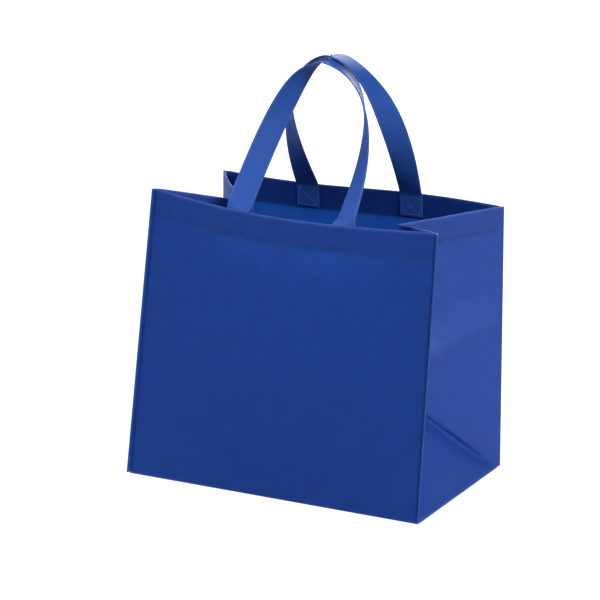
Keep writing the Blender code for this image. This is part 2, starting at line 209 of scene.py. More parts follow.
def panel_point(face, s, h):
    """A point of a panel: s runs left to right and h from the base up to the rim, both 0 to 1."""
    out = OUTWARDS[face]
    foot = Vector(((2 * s - 1) * PANEL_HALF, out * HALF_DEPTH, BASE_LEVEL))
    rim = rim_corner(face, "left", PANEL_HALF).lerp(rim_corner(face, "right", PANEL_HALF), s)
    middle = math.sin(math.pi * s)
    if face == "front":
        rim += Vector((0, out * RIM_BOW * middle, -FRONT_RIM_DIP * math.sin(math.pi * s ** FRONT_DIP_LEAN)))
    else:
        rim += Vector((0, 0, -BACK_RIM_WAVE * math.sin(2 * math.pi * s)))
    belly = BELLY * middle * math.sin(math.pi * h)
    below_rim = (1 - h) * HEIGHT
    from_seam = min(s, 1 - s) * WIDTH
    free = smooth_step(from_seam / SEAM_EASE) * smooth_step(h / PANEL_FOOT_EASE)
    free *= smooth_step((below_rim - RIM_ROOM) / PANEL_RIM_EASE)
    seed = 1 if face == "front" else 2
    belly += PANEL_RIPPLE * free * ripple(s * WIDTH, h * HEIGHT, PANEL_RIPPLE_SIZE, seed)
    belly -= smooth_step(from_seam / STITCH_ONSET) * stitch_pull(below_rim, s * WIDTH, seed)
    return foot.lerp(rim, h) + Vector((0, out * belly, 0))


def under_panel_rim(face):
    """Gives a panel's point at share s, so far down from the rim."""
    return lambda s, down: panel_point(face, s, 1 - down / HEIGHT)


print("middle of the front rim:", brief(panel_point("front", 0.5, 1)))

# %% The gussets
def gusset_corner(face, hand):
    return Vector((SIDEWAYS[hand] * HALF_WIDTH, OUTWARDS[face] * HALF_DEPTH, FLAP_LEVEL))


def gusset_fold(hand):
    """Foot and top of the middle fold."""
    side = SIDEWAYS[hand]
    rise = math.sqrt(HALF_DEPTH ** 2 - FOLD_FOOT_INSET ** 2)
    foot = Vector((side * (HALF_WIDTH - FOLD_FOOT_INSET), 0, FLAP_LEVEL + rise))
    inwards, down = FOLD_TOP[hand]
    top = (rim_corner("front", hand, HALF_WIDTH) + rim_corner("back", hand, HALF_WIDTH)) / 2
    return foot, top + Vector((-side * inwards, 0, -down))


def gusset_lift(hand, face, share, up):
    """How far a gusset's slack cloth stands out, share of the way from the seam to the middle fold."""
    at_seam, at_fold, out, above, below, bow = GUSSET_SLACK[hand, face]
    away = up - (at_seam + (at_fold - at_seam) * share)
    reach = above if away > 0 else below * (RIDGE_KEEN + (1 - RIDGE_KEEN) * smooth_step(2 * share))
    rise = out * smooth_step(1 - abs(away) / reach) * smooth_step(min(share, 1 - share) / RIDGE_ONSET)
    middle = math.sin(math.pi * share)
    rise += bow * middle * smooth_step(1 - (HEIGHT - up) / RIM_BOW_REACH)
    below_rim = HEIGHT - up
    free = middle * smooth_step((up - (1 - share) * GUSSET_FOOT_ROOM) / GUSSET_FOOT_EASE)
    free *= smooth_step((below_rim - RIM_ROOM) / GUSSET_RIM_EASE)
    seed = 11 + 2 * (hand == "left") + (face == "back")
    across = share * HALF_DEPTH
    lift = rise + GUSSET_RIPPLE * free * ripple(across, up, GUSSET_RIPPLE_SIZE, seed)
    return lift - smooth_step(across / STITCH_ONSET) * stitch_pull(below_rim, across, seed)


def triangle_tuck(hand, below, up):
    """How far the triangle is tucked in, below its creases, fading out towards the base."""
    near = below / TUCK_REACH
    depth = TUCK * near * math.exp(1 - near) * smooth_step(up / TUCK_FADE)
    return Vector((-SIDEWAYS[hand] * depth, 0, 0))


def gusset_point(hand, across, up):
    """The gusset by its flat pattern: across from -HALF_DEPTH at the front, up from the base."""
    half = HALF_DEPTH
    face = "front" if across < 0 else "back"
    crease = half - abs(across)
    foot, top = gusset_fold(hand)
    front, back = gusset_corner("front", hand), gusset_corner("back", hand)
    if up <= crease:
        flat = front.lerp(back, (across + half) / (2 * half)) + (foot - (front + back) / 2) * (up / half)
        return flat + triangle_tuck(hand, (crease - up) / math.sqrt(2), up)
    share = 1 - abs(across) / half
    start = gusset_corner(face, hand).lerp(foot, share)
    end = rim_corner(face, hand, HALF_WIDTH).lerp(top, share)
    level = (up - crease) / (HEIGHT - crease)
    outwards = Vector((SIDEWAYS[hand], -OUTWARDS[face], 0)).normalized()
    return start.lerp(end, level) + outwards * gusset_lift(hand, face, share, up)


def under_gusset_rim(hand):
    """Gives a gusset's point across its pattern, so far down from the rim."""
    return lambda across, down: gusset_point(hand, across, HEIGHT - down)


print("top of the right middle fold:", brief(gusset_point("right", 0, HEIGHT)))

# %% [markdown]
# ## From a grid of points to cloth
#
# Blender's grid primitive is a flat sheet of squares. Each of its corners is moved to the place that the
# bag's functions give, the cells that were never sewn are cut away, and a Solidify modifier gives the
# sheet its thickness. Three things are written on every point for the finishes to read: "flat", its
# place on the uncut cloth; how near it is to a fold, seam or ridge, where the finish paints it paler,
# partly as wear and partly as painted highlight; and "layers", where a hem doubles it, which the finish
# paints 5% darker as shade.

# %% Sheets
SHARP_ANGLE = math.radians(38)
FOLDED_ANGLE = math.radians(60)


def cloth_sheet(name, rows, across, along, mark, cut, thickness, material, creases=(), rounding=0.0):
    """Moves a grid's points to rows, and notes on each its flat place, its wear and painted highlight, and
    its layers.
    """
    columns, lines = len(across) - 1, len(along) - 1
    bm = bmesh.new()
    bmesh.ops.create_grid(bm, x_segments=columns, y_segments=lines, size=0.5)
    flat = bm.verts.layers.float_vector.new("flat")
    wear_and_highlight = bm.verts.layers.float.new("wear_and_highlight")
    layers = bm.verts.layers.float.new("layers")
    place = {}
    for vert in bm.verts:
        place[round((vert.co.x + 0.5) * columns), round((vert.co.y + 0.5) * lines)] = vert
    gone = []
    for face in bm.faces:
        middle = face.calc_center_median()
        if cut(int((middle.x + 0.5) * columns), int((middle.y + 0.5) * lines)):
            gone.append(face)
    for (column, line), vert in place.items():
        u, v = across[column], along[line]
        vert.co = rows[line][column]
        vert[flat] = (u, v, 0)
        vert[wear_and_highlight], vert[layers] = mark(u, v)
    bmesh.ops.delete(bm, geom=gone, context="FACES")
    for a, b in creases:
        bmesh.ops.connect_verts(bm, verts=[place[a], place[b]])
    mesh = bpy.data.meshes.new(name)
    bm.to_mesh(mesh)
    bm.free()
    mesh.materials.append(material)
    obj = placed(name, mesh)
    thicken(obj, thickness, rounding)
    print(name, "has", len(obj.data.polygons), "faces")
    return obj


def thicken(obj, thickness, rounding):
    """Thickness to both sides, rounded edges where cloth is folded on itself, and smooth shading."""
    solid = obj.modifiers.new("Cloth thickness", "SOLIDIFY")
    solid.thickness = thickness
    solid.offset = 0.0
    solid.use_even_offset = True
    solid.use_quality_normals = True
    if rounding:
        bevel = obj.modifiers.new("Folded edge", "BEVEL")
        bevel.width = rounding
        bevel.segments = 3
        bevel.angle_limit = FOLDED_ANGLE
    done = bpy.data.meshes.new_from_object(obj.evaluated_get(bpy.context.evaluated_depsgraph_get()))
    obj.modifiers.clear()
    obj.data = done
    done.shade_smooth()
    done.set_sharp_from_angle(angle=SHARP_ANGLE)

# %% [markdown]
# ## The cloth's finish
#
# Spun non-woven cloth is a felt of fine plastic threads, pressed together at thousands of small dots. It
# is dull, a little cloudy because the felt is thicker in some places, and paler where it is folded: along
# its folds, rim and seams this paleness is partly wear and partly painted highlight, and on the upper side
# of the gussets' ridges it is painted highlight alone. It also lets some light through, so a hem, which is
# double, looks darker from the inside than the single cloth under it: a translucent shader is mixed in
# for that, and the doubled cloth is also painted a little darker as shade. The dots are a Voronoi
# texture with no randomness, turned by 45 degrees. The fibres, clouds and dents are noise. All of it is
# read from "flat", so that the pattern follows the cloth round its folds.

# %% Nodes
def add(tree, kind, inputs=(), **settings):
    """A node with its settings. inputs are (socket, value or other node's socket)."""
    made = tree.nodes.new("ShaderNode" + kind)
    for key, value in settings.items():
        setattr(made, key, value)
    for key, value in inputs:
        if isinstance(value, bpy.types.NodeSocket):
            tree.links.new(value, made.inputs[key])
        else:
            made.inputs[key].default_value = value
    return made


def ranged(tree, value, low, high, to_low, to_high, shape="SMOOTHSTEP"):
    """value from low to high, brought smoothly to between to_low and to_high."""
    limits = [("From Min", low), ("From Max", high), ("To Min", to_low), ("To Max", to_high)]
    return add(tree, "MapRange", [("Value", value), *limits], interpolation_type=shape).outputs["Result"]


def mottle(tree, place, scale, detail, **more):
    """Noise read at place. more names other sockets, such as Roughness."""
    inputs = [("Vector", place), ("Scale", scale), ("Detail", detail), *more.items()]
    return add(tree, "TexNoise", inputs).outputs[0]


def product(tree, *values):
    """All values multiplied together."""
    result = values[0]
    for value in values[1:]:
        result = add(tree, "Math", [(0, result), (1, value)], operation="MULTIPLY").outputs[0]
    return result


def scaled(tree, colour, amount):
    """A colour made darker or lighter by amount."""
    return add(tree, "VectorMath", [(0, colour[:3]), ("Scale", amount)], operation="SCALE").outputs[0]


def blended(tree, amount, first, second):
    """first where amount is 0 and second where it is 1."""
    inputs = [("Factor", amount), ("A", first), ("B", second)]
    return add(tree, "Mix", inputs, data_type="RGBA").outputs["Result"]


def dress(tree, shader, colour, rough, normal):
    """Links a shader's colour, roughness and normal."""
    for key, value in (("Base Color", colour), ("Roughness", rough), ("Normal", normal)):
        tree.links.new(value, shader.inputs[key])


def new_material(name, colour):
    """A material, its node tree and its main shader."""
    material = bpy.data.materials.new(name)
    material.use_nodes = True
    material.diffuse_color = colour
    return material, material.node_tree, material.node_tree.nodes["Principled BSDF"]

# %% Non-woven cloth
DOT_PITCH, DOT_DEPTH = 0.0011, 0.00006
FIBRE_SCALE, FIBRE_DEPTH = 1400.0, 0.00003
CLOUD_SCALE = 55.0
DENT_SCALE, DENT_DEPTH = 26.0, 0.00035
LIGHTENED_TIMES, LIGHTENED_PLUS = 1.25, 0.035
PANEL_BLUE = (0.0035, 0.034, 0.197, 1.0)
# The gussets are the same cloth as the panels, painted about 1.4 times lighter as light from the key.
GUSSET_LIT_BLUE = (0.0060, 0.048, 0.270, 1.0)
# The straps' blue has its red raised, a painted sheen on their own blue.
STRAP_BLUE_WITH_SHEEN = (0.0115, 0.047, 0.212, 1.0)
GLOW_BLUE = (0.12, 0.36, 0.80)


def pressed_dots(tree, flat):
    """1 between the dots and 0 in the middle of each, where the felt is pressed flat."""
    slanted = [("Vector", flat), ("Rotation", (0, 0, math.pi / 4)), ("Scale", (1 / DOT_PITCH,) * 3)]
    turned = add(tree, "Mapping", slanted).outputs[0]
    cells = add(tree, "TexVoronoi", [("Vector", turned), ("Scale", 1.0), ("Randomness", 0.0)],
                voronoi_dimensions="2D")
    return ranged(tree, cells.outputs["Distance"], 0.20, 0.42, 0.0, 1.0)


def bumped(tree, *heights):
    """A normal from (height, depth) pairs, each bump on top of the one before."""
    normal = None
    for height, depth in heights:
        bump = add(tree, "Bump", [("Height", height), ("Distance", depth), ("Strength", 1.0)])
        if normal is not None:
            tree.links.new(normal, bump.inputs["Normal"])
        normal = bump.outputs[0]
    return normal


def nonwoven(name, colour, roughness, gloss, through, pale):
    """Spun cloth. through is how much light passes a single layer, pale how much paler wear and painted
    highlight make it.
    """
    material, tree, shader = new_material(name, colour)
    flat = add(tree, "Attribute", attribute_name="flat").outputs["Vector"]
    wear_and_highlight = add(tree, "Attribute", attribute_name="wear_and_highlight").outputs["Fac"]
    layers = add(tree, "Attribute", attribute_name="layers").outputs["Fac"]
    raised = pressed_dots(tree, flat)
    fibre = mottle(tree, flat, FIBRE_SCALE, 5.0, Roughness=0.65)
    cloud = mottle(tree, flat, CLOUD_SCALE, 4.0, Distortion=0.6)
    dent = mottle(tree, flat, DENT_SCALE, 2.0, Roughness=0.4)

    # The last factor paints the doubled hem 5% darker: painted shade for the light that two layers let
    # through less.
    shades = [(fibre, 0.3, 0.7, 0.93, 1.07), (cloud, 0.3, 0.7, 0.95, 1.05),
              (raised, 0.0, 1.0, 0.93, 1.0), (layers, 0.0, 1.0, 1.0, 0.95)]
    shade = product(tree, *(ranged(tree, *limits, "LINEAR") for limits in shades))
    # Lighter colour mixed in along folds, rim, seams and ridges: partly wear, partly painted highlight.
    lightened = [min(1.0, c * LIGHTENED_TIMES + LIGHTENED_PLUS) for c in colour[:3]] + [1.0]
    patchy = product(tree, wear_and_highlight, ranged(tree, cloud, 0.3, 0.65, 0.6, 1.0))
    worn_and_lit = ranged(tree, patchy, 0.15, 1.0, 0.0, pale)
    rough = ranged(tree, fibre, 0.3, 0.7, roughness - 0.06, roughness + 0.06)
    normal = bumped(tree, (dent, DENT_DEPTH), (raised, DOT_DEPTH), (fibre, FIBRE_DEPTH))
    dress(tree, shader, blended(tree, worn_and_lit, scaled(tree, colour, shade), lightened), rough, normal)
    shader.inputs["Specular IOR Level"].default_value = gloss

    if through:
        glow = add(tree, "BsdfTranslucent", [("Color", scaled(tree, GLOW_BLUE, shade)), ("Normal", normal)])
        mix = add(tree, "MixShader", [("Fac", through), (1, shader.outputs[0]), (2, glow.outputs[0])])
        tree.links.new(mix.outputs[0], tree.nodes["Material Output"].inputs["Surface"])
    return material


panel_cloth = nonwoven("panel_nonwoven", PANEL_BLUE, roughness=0.80, gloss=0.2, through=0.35, pale=0.6)
gusset_cloth = nonwoven("gusset_nonwoven", GUSSET_LIT_BLUE, roughness=0.60, gloss=0.50, through=0.35, pale=0.7)
strap_cloth = nonwoven("strap_nonwoven", STRAP_BLUE_WITH_SHEEN, roughness=0.66, gloss=0.11, through=0.0, pale=0.4)
print("cloth finishes:", [m.name for m in (panel_cloth, gusset_cloth, strap_cloth)])

# %% [markdown]
# ## The body: front, base and back in one sheet
#
# The bag's front has no seam at its foot, only a sharp fold, because one long piece of cloth runs down
# the front, under the groceries and up the back. Building it as one grid keeps that fold honest. At the
# rim the cloth turns over a small round fold and comes down again inside as the hem. At its two long
# edges it stands out a few millimetres, where it is stitched to the gussets.

# %% Helpers for seams and hems
PANEL_COLUMNS, PANEL_ROWS, BASE_ROWS = 96, 72, 48
FOLD_STEPS, HEM_ROWS = 6, 8
SEAM_CLOSED = 0.00025
FINE = 0.0012
# How far the paleness along folds, rim and seams reaches: partly wear, partly painted highlight.
WEAR_AND_HIGHLIGHT_REACH = 0.0035
PANEL_PULL_SEED, GUSSET_PULL_SEED = 3, 5


def seam_ways(face, hand):
    """The way that the two raw edges stand out, and the way square to it, from panel to gusset."""
    aside, ahead = SIDEWAYS[hand], OUTWARDS[face]
    sine, cosine = math.sin(SEAM_SPREAD), math.cos(SEAM_SPREAD)
    return Vector((aside * sine, ahead * cosine, 0)), Vector((aside * cosine, -ahead * sine, 0))


def seam_edge(point, face, hand, sign, share=1.0):
    """A point on a raw edge, share of the way out. sign is 1 on the panel's edge, -1 on the gusset's."""
    out, square = seam_ways(face, hand)
    return point + out * SEAM * share + square * sign * SEAM_CLOSED * share


def row_normals(rim, below):
    """For each point of a rim, the direction into the bag, longer at a fold to keep layers parallel."""
    faces = []
    for i in range(len(rim) - 1):
        down = (below[i] + below[i + 1] - rim[i] - rim[i + 1]) / 2
        faces.append((rim[i + 1] - rim[i]).cross(down).normalized())
    normals = [faces[0]]
    for a, b in zip(faces, faces[1:]):
        normals.append((a + b) / (1 + a.dot(b)))
    return [*normals, faces[-1]]


def squeezed(count, room, length):
    """Shares from 0 to 1, drawn in so that room is left free at both ends."""
    return [room / length + (1 - 2 * room / length) * i / count for i in range(count + 1)]


def hem_levels():
    """Distances under the rim at which the hem has a row: even steps, and three by the stitches."""
    levels = [HEM * i / HEM_ROWS for i in range(HEM_ROWS + 1)]
    levels = [v for v in levels if abs(v - STITCH_DOWN) > 2 * FINE or v == HEM]
    return sorted([*levels, FINE, STITCH_DOWN - FINE, STITCH_DOWN, STITCH_DOWN + FINE])


def turned_hem(point, pull, places, backwards):
    """The hem's round fold and its inner layer, which stitches pull. backwards turns the order round."""
    places = places[::-1] if backwards else places
    rim, below = [point(p, 0) for p in places], [point(p, CLOTH) for p in places]
    inwards = row_normals(rim, below)
    ups = [(a - b).normalized() for a, b in zip(rim, below)]
    rows = []
    for step in range(1, FOLD_STEPS):
        angle = math.pi * step / FOLD_STEPS
        aside, above = HEM_TURN * (1 - math.cos(angle)), HEM_TURN * math.sin(angle)
        rows.append([p + n * aside + u * above for p, n, u in zip(rim, inwards, ups)])
    for v in hem_levels():
        rows.append([point(p, v) + pull(p, v) + n * 2 * HEM_TURN for p, n in zip(places, inwards)])
    return [row[::-1] for row in rows] if backwards else rows


print("rows on the hem, in mm under the rim:", [round(v * 1000, 1) for v in hem_levels()])

# %% Cut and fold the body
def panel_rows(face):
    """One panel as (points, distance from the middle of the base), from the foot up, over and down."""
    heights = [FOOT_FOLD + (HEIGHT - HEM - FOOT_FOLD) * i / PANEL_ROWS for i in range(PANEL_ROWS)]
    heights += [HEIGHT - v for v in reversed(hem_levels())]
    shares = squeezed(PANEL_COLUMNS, 0.0, 1.0)
    rows = []
    for up in heights:
        row = [panel_point(face, s, up / HEIGHT) for s in shares]
        row = [seam_edge(row[0], face, "left", 1), *row, seam_edge(row[-1], face, "right", 1)]
        rows.append((row, HALF_DEPTH + up))

    def pull(s, down):
        return Vector((0, OUTWARDS[face] * 2 * stitch_pull(down, s * WIDTH, PANEL_PULL_SEED), 0))

    drawn_in = squeezed(PANEL_COLUMNS, HEM_END_ROOM, 2 * PANEL_HALF)
    turned = turned_hem(under_panel_rim(face), pull, drawn_in, face == "back")
    steps = [0.0] * (FOLD_STEPS - 1) + hem_levels()
    for row, v in zip(turned, steps):
        rows.append(([row[0], *row, row[-1]], RIM + v))
    return rows


def foot_fold(face):
    """The rounded fold between a panel and the base, from the base's side up."""
    rows = []
    for step in range(FOLD_STEPS):
        angle = math.pi / 2 * step / FOLD_STEPS
        y = OUTWARDS[face] * (HALF_DEPTH - FOOT_FOLD + FOOT_FOLD * math.sin(angle))
        z = BASE_LEVEL + FOOT_FOLD * (1 - math.cos(angle))
        row = [Vector(((2 * i / PANEL_COLUMNS - 1) * PANEL_HALF, y, z)) for i in range(PANEL_COLUMNS + 1)]
        rows.append(([row[0], *row, row[-1]], HALF_DEPTH - FOOT_FOLD + FOOT_FOLD * angle))
    return rows


def body_mark(u, v):
    """Paleness along the foot folds, the rim and the seams, part wear and part painted highlight, and the
    doubled hem, painted darker as shade.
    """
    far = abs(v)
    edge = min(abs(far - HALF_DEPTH), abs(far - RIM), abs(abs(u) - PANEL_HALF - SEAM))
    return max(0.0, 1 - edge / WEAR_AND_HIGHLIGHT_REACH), float(far > RIM - HEM - FINE)


def body_panel():
    front, back = panel_rows("front"), panel_rows("back")
    near, far = foot_fold("front"), foot_fold("back")
    rows = [(points, -v) for points, v in reversed(near + front)]
    for i in range(1, BASE_ROWS):
        row = [a.lerp(b, i / BASE_ROWS) for a, b in zip(near[0][0], far[0][0])]
        rows.append((row, (2 * i / BASE_ROWS - 1) * (HALF_DEPTH - FOOT_FOLD)))
    rows += far + back
    turned = FOLD_STEPS - 1 + len(hem_levels())
    upright = len(front) - turned - 1
    last, top = PANEL_COLUMNS + 1, len(rows) - 1

    def cut(column, row):
        from_edge = min(row, top - 1 - row)
        return column in (0, last) and not turned <= from_edge < turned + upright

    across = [(2 * i / PANEL_COLUMNS - 1) * PANEL_HALF for i in range(PANEL_COLUMNS + 1)]
    across = [across[0] - SEAM, *across, across[-1] + SEAM]
    points, along = [row for row, v in rows], [v for row, v in rows]
    return cloth_sheet("body_cloth", points, across, along, body_mark, cut, CLOTH, panel_cloth)


body = body_panel()
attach(body, "root")
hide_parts("body_panel")

# %% [markdown]
# ## The gussets
#
# A gusset is the cloth that closes a side. When the bag is put away it folds inwards down its middle, and
# a triangle of creases at its foot lets the base fold up. Those creases stay for good. The triangle's
# edges run along the diagonals of the grid's cells, so each such cell is split by connect_verts along the
# fold: a square cell bent over a diagonal would show a row of small teeth instead.

# %% Fold the gussets
GUSSET_HALF_STEPS, GUSSET_UPPER_ROWS = 32, 46
CREASE_EASE = 0.0025
# The gussets' ridges carry painted highlight on their upper slopes: its strength, its share left at the seam,
# how far above the ridge it sits, and the ridge height it is scaled by.
RIDGE_HIGHLIGHT, RIDGE_LIT_AT_SEAM, RIDGE_LIT_ABOVE, TALL_RIDGE = 0.82, 0.35, 0.010, 0.007


def ridge_highlight(hand, u, v):
    """Painted highlight on the upper slope of a ridge, where light from above falls, most of all beside the
    middle fold.
    """
    at_seam, at_fold, out, above, below, _ = GUSSET_SLACK[hand, "front" if u < 0 else "back"]
    share = 1 - abs(u) / HALF_DEPTH
    away = v - (at_seam + (at_fold - at_seam) * share) - RIDGE_LIT_ABOVE
    near = smooth_step(1 - abs(away) / (above if away > 0 else below))
    towards_fold = RIDGE_LIT_AT_SEAM + (1 - RIDGE_LIT_AT_SEAM) * share
    return RIDGE_HIGHLIGHT * near * towards_fold * out / TALL_RIDGE


def gusset_mark(hand, u, v):
    """Paleness along the folds, rim and seams, part wear and part painted highlight, painted highlight on the
    ridges, and the doubled hem, painted darker as shade.
    """
    triangle = abs(v - (HALF_DEPTH - abs(u))) / math.sqrt(2) + CREASE_EASE
    middle = abs(u) if v > HALF_DEPTH else 1.0
    edge = min(triangle, middle, abs(v - HEIGHT), abs(abs(u) - HALF_DEPTH - SEAM), abs(v))
    worn_and_lit = max(1 - edge / WEAR_AND_HIGHLIGHT_REACH, ridge_highlight(hand, u, v), 0.0)
    return worn_and_lit, float(v > HEIGHT - HEM - FINE)


def gusset(hand):
    half = HALF_DEPTH
    marks = sorted([half * i / GUSSET_HALF_STEPS for i in range(GUSSET_HALF_STEPS + 1)] + [FLAP_END_ROOM])
    across = [mark - half for mark in marks] + [half - mark for mark in marks[-2::-1]]
    upper = HEIGHT - HEM - half
    ups = [half + upper * i / GUSSET_UPPER_ROWS for i in range(1, GUSSET_UPPER_ROWS)]
    ups = [*marks, *ups, *(HEIGHT - v for v in reversed(hem_levels()))]
    side = SIDEWAYS[hand]
    flap = [Vector((side * (HALF_WIDTH - BASE_FLAP), a, FLAP_LEVEL)) for a in across]
    rows = [[flap[0], *flap, flap[-1]]]
    for up in ups:
        row = [gusset_point(hand, a, up) for a in across]
        rows.append([seam_edge(row[0], "front", hand, -1), *row, seam_edge(row[-1], "back", hand, -1)])

    def pull(a, down):
        outwards = Vector((side, math.copysign(1.0, -a), 0)).normalized()
        return outwards * 2 * stitch_pull(down, a, GUSSET_PULL_SEED)

    drawn_in = [a * (1 - HEM_END_ROOM / half) for a in across]
    turned = turned_hem(under_gusset_rim(hand), pull, drawn_in, hand == "left")
    rows += [[row[0], *row, row[-1]] for row in turned]
    along = [-BASE_FLAP, *ups, *([HEIGHT] * (FOLD_STEPS - 1)), *(HEIGHT + v for v in hem_levels())]
    last, upright = len(across), len(ups) - 1
    creases = []
    for i in range(len(marks) - 1):
        for j in range(i + 1):
            creases.append(((1 + i, 1 + j), (2 + i, 2 + j)))
            creases.append(((last - i, 1 + j), (last - 1 - i, 2 + j)))

    def cut(column, row):
        if row == 0:
            return column <= 1 or column >= last - 1
        return column in (0, last) and row > upright

    def mark(u, v):
        return gusset_mark(hand, u, v)

    edges = [across[0] - SEAM, *across, across[-1] + SEAM]
    return cloth_sheet(hand + "_gusset_cloth", rows, edges, along, mark, cut, CLOTH, gusset_cloth, creases)


for hand in ("left", "right"):
    side_cloth = gusset(hand)
    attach(side_cloth, "root")
    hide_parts(hand + "_gusset")

# %% [markdown]
# ## The straps
#
# Each handle is one flat strap of doubled cloth. Its ends are sewn flat inside the hem, and its middle is
# held up, so each leg leaves the rim leaning over the mouth and turns about its own length until both
# straps meet edge up. A curve with a bevel would turn by its own rule, so the strap is a ribbon
# instead: a Bezier curve gives its middle line, and at each even step along it the width is turned by a
# chosen angle.

# %% Ribbon shapes
STRAP_WIDTH, STRAP, STRAP_TAIL = 0.0254, 0.0015, 0.026
STRAP_SEAT = 2 * HEM_TURN + CLOTH / 2 + GAP + STRAP / 2
TURN_START, LATE_POWER = 0.010, 5
TAIL_ROWS, LEG_ROWS, STRAP_COLUMNS = 8, 70, 8
CURVE_STEPS, HALVINGS, SLOPE_STEP = 400, 40, 0.01
EDGE_ROUNDING, EDGE_WEAR_REACH = 0.0005, 0.0025
HANDLES = {
    "front": {
        "half_spacing": 0.0606, "middle": 0.0029, "peak": (-0.0074, 0.0046, 0.4361),
        "rise": 0.1684, "lean": 0.723, "out": (0.1108, -0.0248), "reach": (0.0167, 0.0122),
        "turn_at_rim": 25.7, "turn_power": 2.94, "turn_back": 17.4, "peak_turn": -6.8,
        "late_turn": (15.1, 6.7),
    },
    "back": {
        "half_spacing": 0.0597, "middle": 0.0090, "peak": (-0.0064, 0.0238, 0.4388),
        "rise": 0.1558, "lean": 0.317, "out": (0.1703, 0.0077), "reach": (0.0140, 0.0115),
        "turn_at_rim": -4.3, "turn_power": 2.44, "turn_back": -2.7, "peak_turn": 5.5,
        "late_turn": (18.2, 2.0),
    },
}


def panel_frame(face, x, h):
    """The panel's point at x and height share h, its directions right and up, and the one into the bag."""
    low, high = 0.0, 1.0
    for _ in range(HALVINGS):
        s = (low + high) / 2
        if panel_point(face, s, h).x < x:
            low = s
        else:
            high = s
    right = (panel_point(face, s + SLOPE_STEP, h) - panel_point(face, s - SLOPE_STEP, h)).normalized()
    up = (panel_point(face, s, 1) - panel_point(face, s, 1 - HEM / HEIGHT)).normalized()
    inwards = up.cross(right).normalized() * -OUTWARDS[face]
    return panel_point(face, s, h), right, up, inwards


def cubic(control, t):
    """Point and tangent of a Bezier curve at t."""
    steps = [b - a for a, b in zip(control, control[1:])]
    weights = ((1 - t) ** 3, 3 * (1 - t) ** 2 * t, 3 * (1 - t) * t * t, t ** 3)
    slopes = ((1 - t) ** 2, 2 * (1 - t) * t, t * t)
    point = sum((p * w for p, w in zip(control, weights)), Vector())
    return point, sum((p * w for p, w in zip(steps, slopes)), Vector()).normalized()


def lengths_along(points):
    """How far each point is from the first, from one to the next."""
    lengths = [0.0]
    for a, b in zip(points, points[1:]):
        lengths.append(lengths[-1] + (b - a).length)
    return lengths


def found(goals, lengths):
    """For each goal, the step that it lies in and its share of that step."""
    i = 0
    for goal in goals:
        while lengths[i + 1] < goal:
            i += 1
        yield i, (goal - lengths[i]) / (lengths[i + 1] - lengths[i])


def even_steps(control, count):
    """The curve's parameter at count + 1 places that are evenly spaced along it."""
    lengths = lengths_along([cubic(control, i / CURVE_STEPS)[0] for i in range(CURVE_STEPS + 1)])
    goals = [lengths[-1] * step / count for step in range(1, count)]
    return [0.0, *((i + share) / CURVE_STEPS for i, share in found(goals, lengths)), 1.0]


def strap_end(face, hand):
    """Across the panel, where the middle of a strap's end is sewn."""
    return HANDLES[face]["middle"] + SIDEWAYS[hand] * HANDLES[face]["half_spacing"]


def leg_rows(face, hand):
    """One leg as (middle, direction of its width), from its sewn tail up to the peak."""
    shape = HANDLES[face]
    side, out = SIDEWAYS[hand], OUTWARDS[face]
    side_index = 0 if hand == "left" else 1
    x = strap_end(face, hand)
    point, right, up, inwards = panel_frame(face, x, 1)
    seat = point + inwards * STRAP_SEAT
    rows = [(seat - up * STRAP_TAIL * (1 - i / TAIL_ROWS), right) for i in range(TAIL_ROWS)]
    start = (up + inwards * shape["lean"] + right * side * shape["out"][side_index]).normalized()
    peak = Vector(shape["peak"])
    reach = Vector((side * shape["reach"][side_index], 0, 0))
    control = (seat, seat + start * shape["rise"], peak + reach, peak)
    at_rim = math.radians(shape["turn_at_rim"])
    at_peak = math.pi / 2 - side * math.radians(shape["peak_turn"])
    late = math.radians(shape["late_turn"][side_index])
    back = math.radians(shape["turn_back"])
    for t in even_steps(control, LEG_ROWS):
        middle, tangent = cubic(control, t)
        turn = at_rim + (at_peak - at_rim) * (1 - (1 - t) ** shape["turn_power"])
        turn += late * math.sin(math.pi * t ** LATE_POWER) - back * math.sin(math.pi * t)
        free = smooth_step((middle - seat).length / TURN_START)
        width = right * math.cos(free * turn) + Vector((0, out * side, 0)) * math.sin(free * turn)
        rows.append((middle, (width - tangent * width.dot(tangent) * free).normalized()))
    return rows

# %% Make the straps
def strap_mark(u, v):
    """Wear along both edges. A strap is doubled all over."""
    return max(0.0, 1 - (STRAP_WIDTH / 2 - abs(u)) / EDGE_WEAR_REACH), 1.0


def strap(face):
    """A strap from one sewn tail, up over the peak, and down to the other, with its length."""
    left, right = leg_rows(face, "left"), leg_rows(face, "right")
    over = [(middle, -width) for middle, width in right[:-1]]
    if left[-1][1].dot(over[-1][1]) < 0:
        over = [(middle, -width) for middle, width in over]
    spine = left + over[::-1]
    across = [STRAP_WIDTH * (i / STRAP_COLUMNS - 0.5) for i in range(STRAP_COLUMNS + 1)]
    rows = [[middle + width * u for u in across] for middle, width in spine]
    along = lengths_along([middle for middle, _ in spine])
    ribbon = cloth_sheet(face + "_strap", rows, across, along, strap_mark, lambda column, row: False,
                         STRAP, strap_cloth, rounding=EDGE_ROUNDING)
    return ribbon, along[-1]


for face in ("front", "back"):
    ribbon, length = strap(face)
    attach(ribbon, "root")
    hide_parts(face + "_handle")
    print(face, "strap is", round(length, 4), "long")

# %% [markdown]
# ## The base board
#
# A loose board lies on the floor of such a bag, so that cans don't poke through. It is pressed dark
# board with rounded corners. It starts as a cube primitive scaled to size, with two bevels: a wide one on
# the four upright edges and a fine one all round, because no cut board has a perfectly sharp edge.

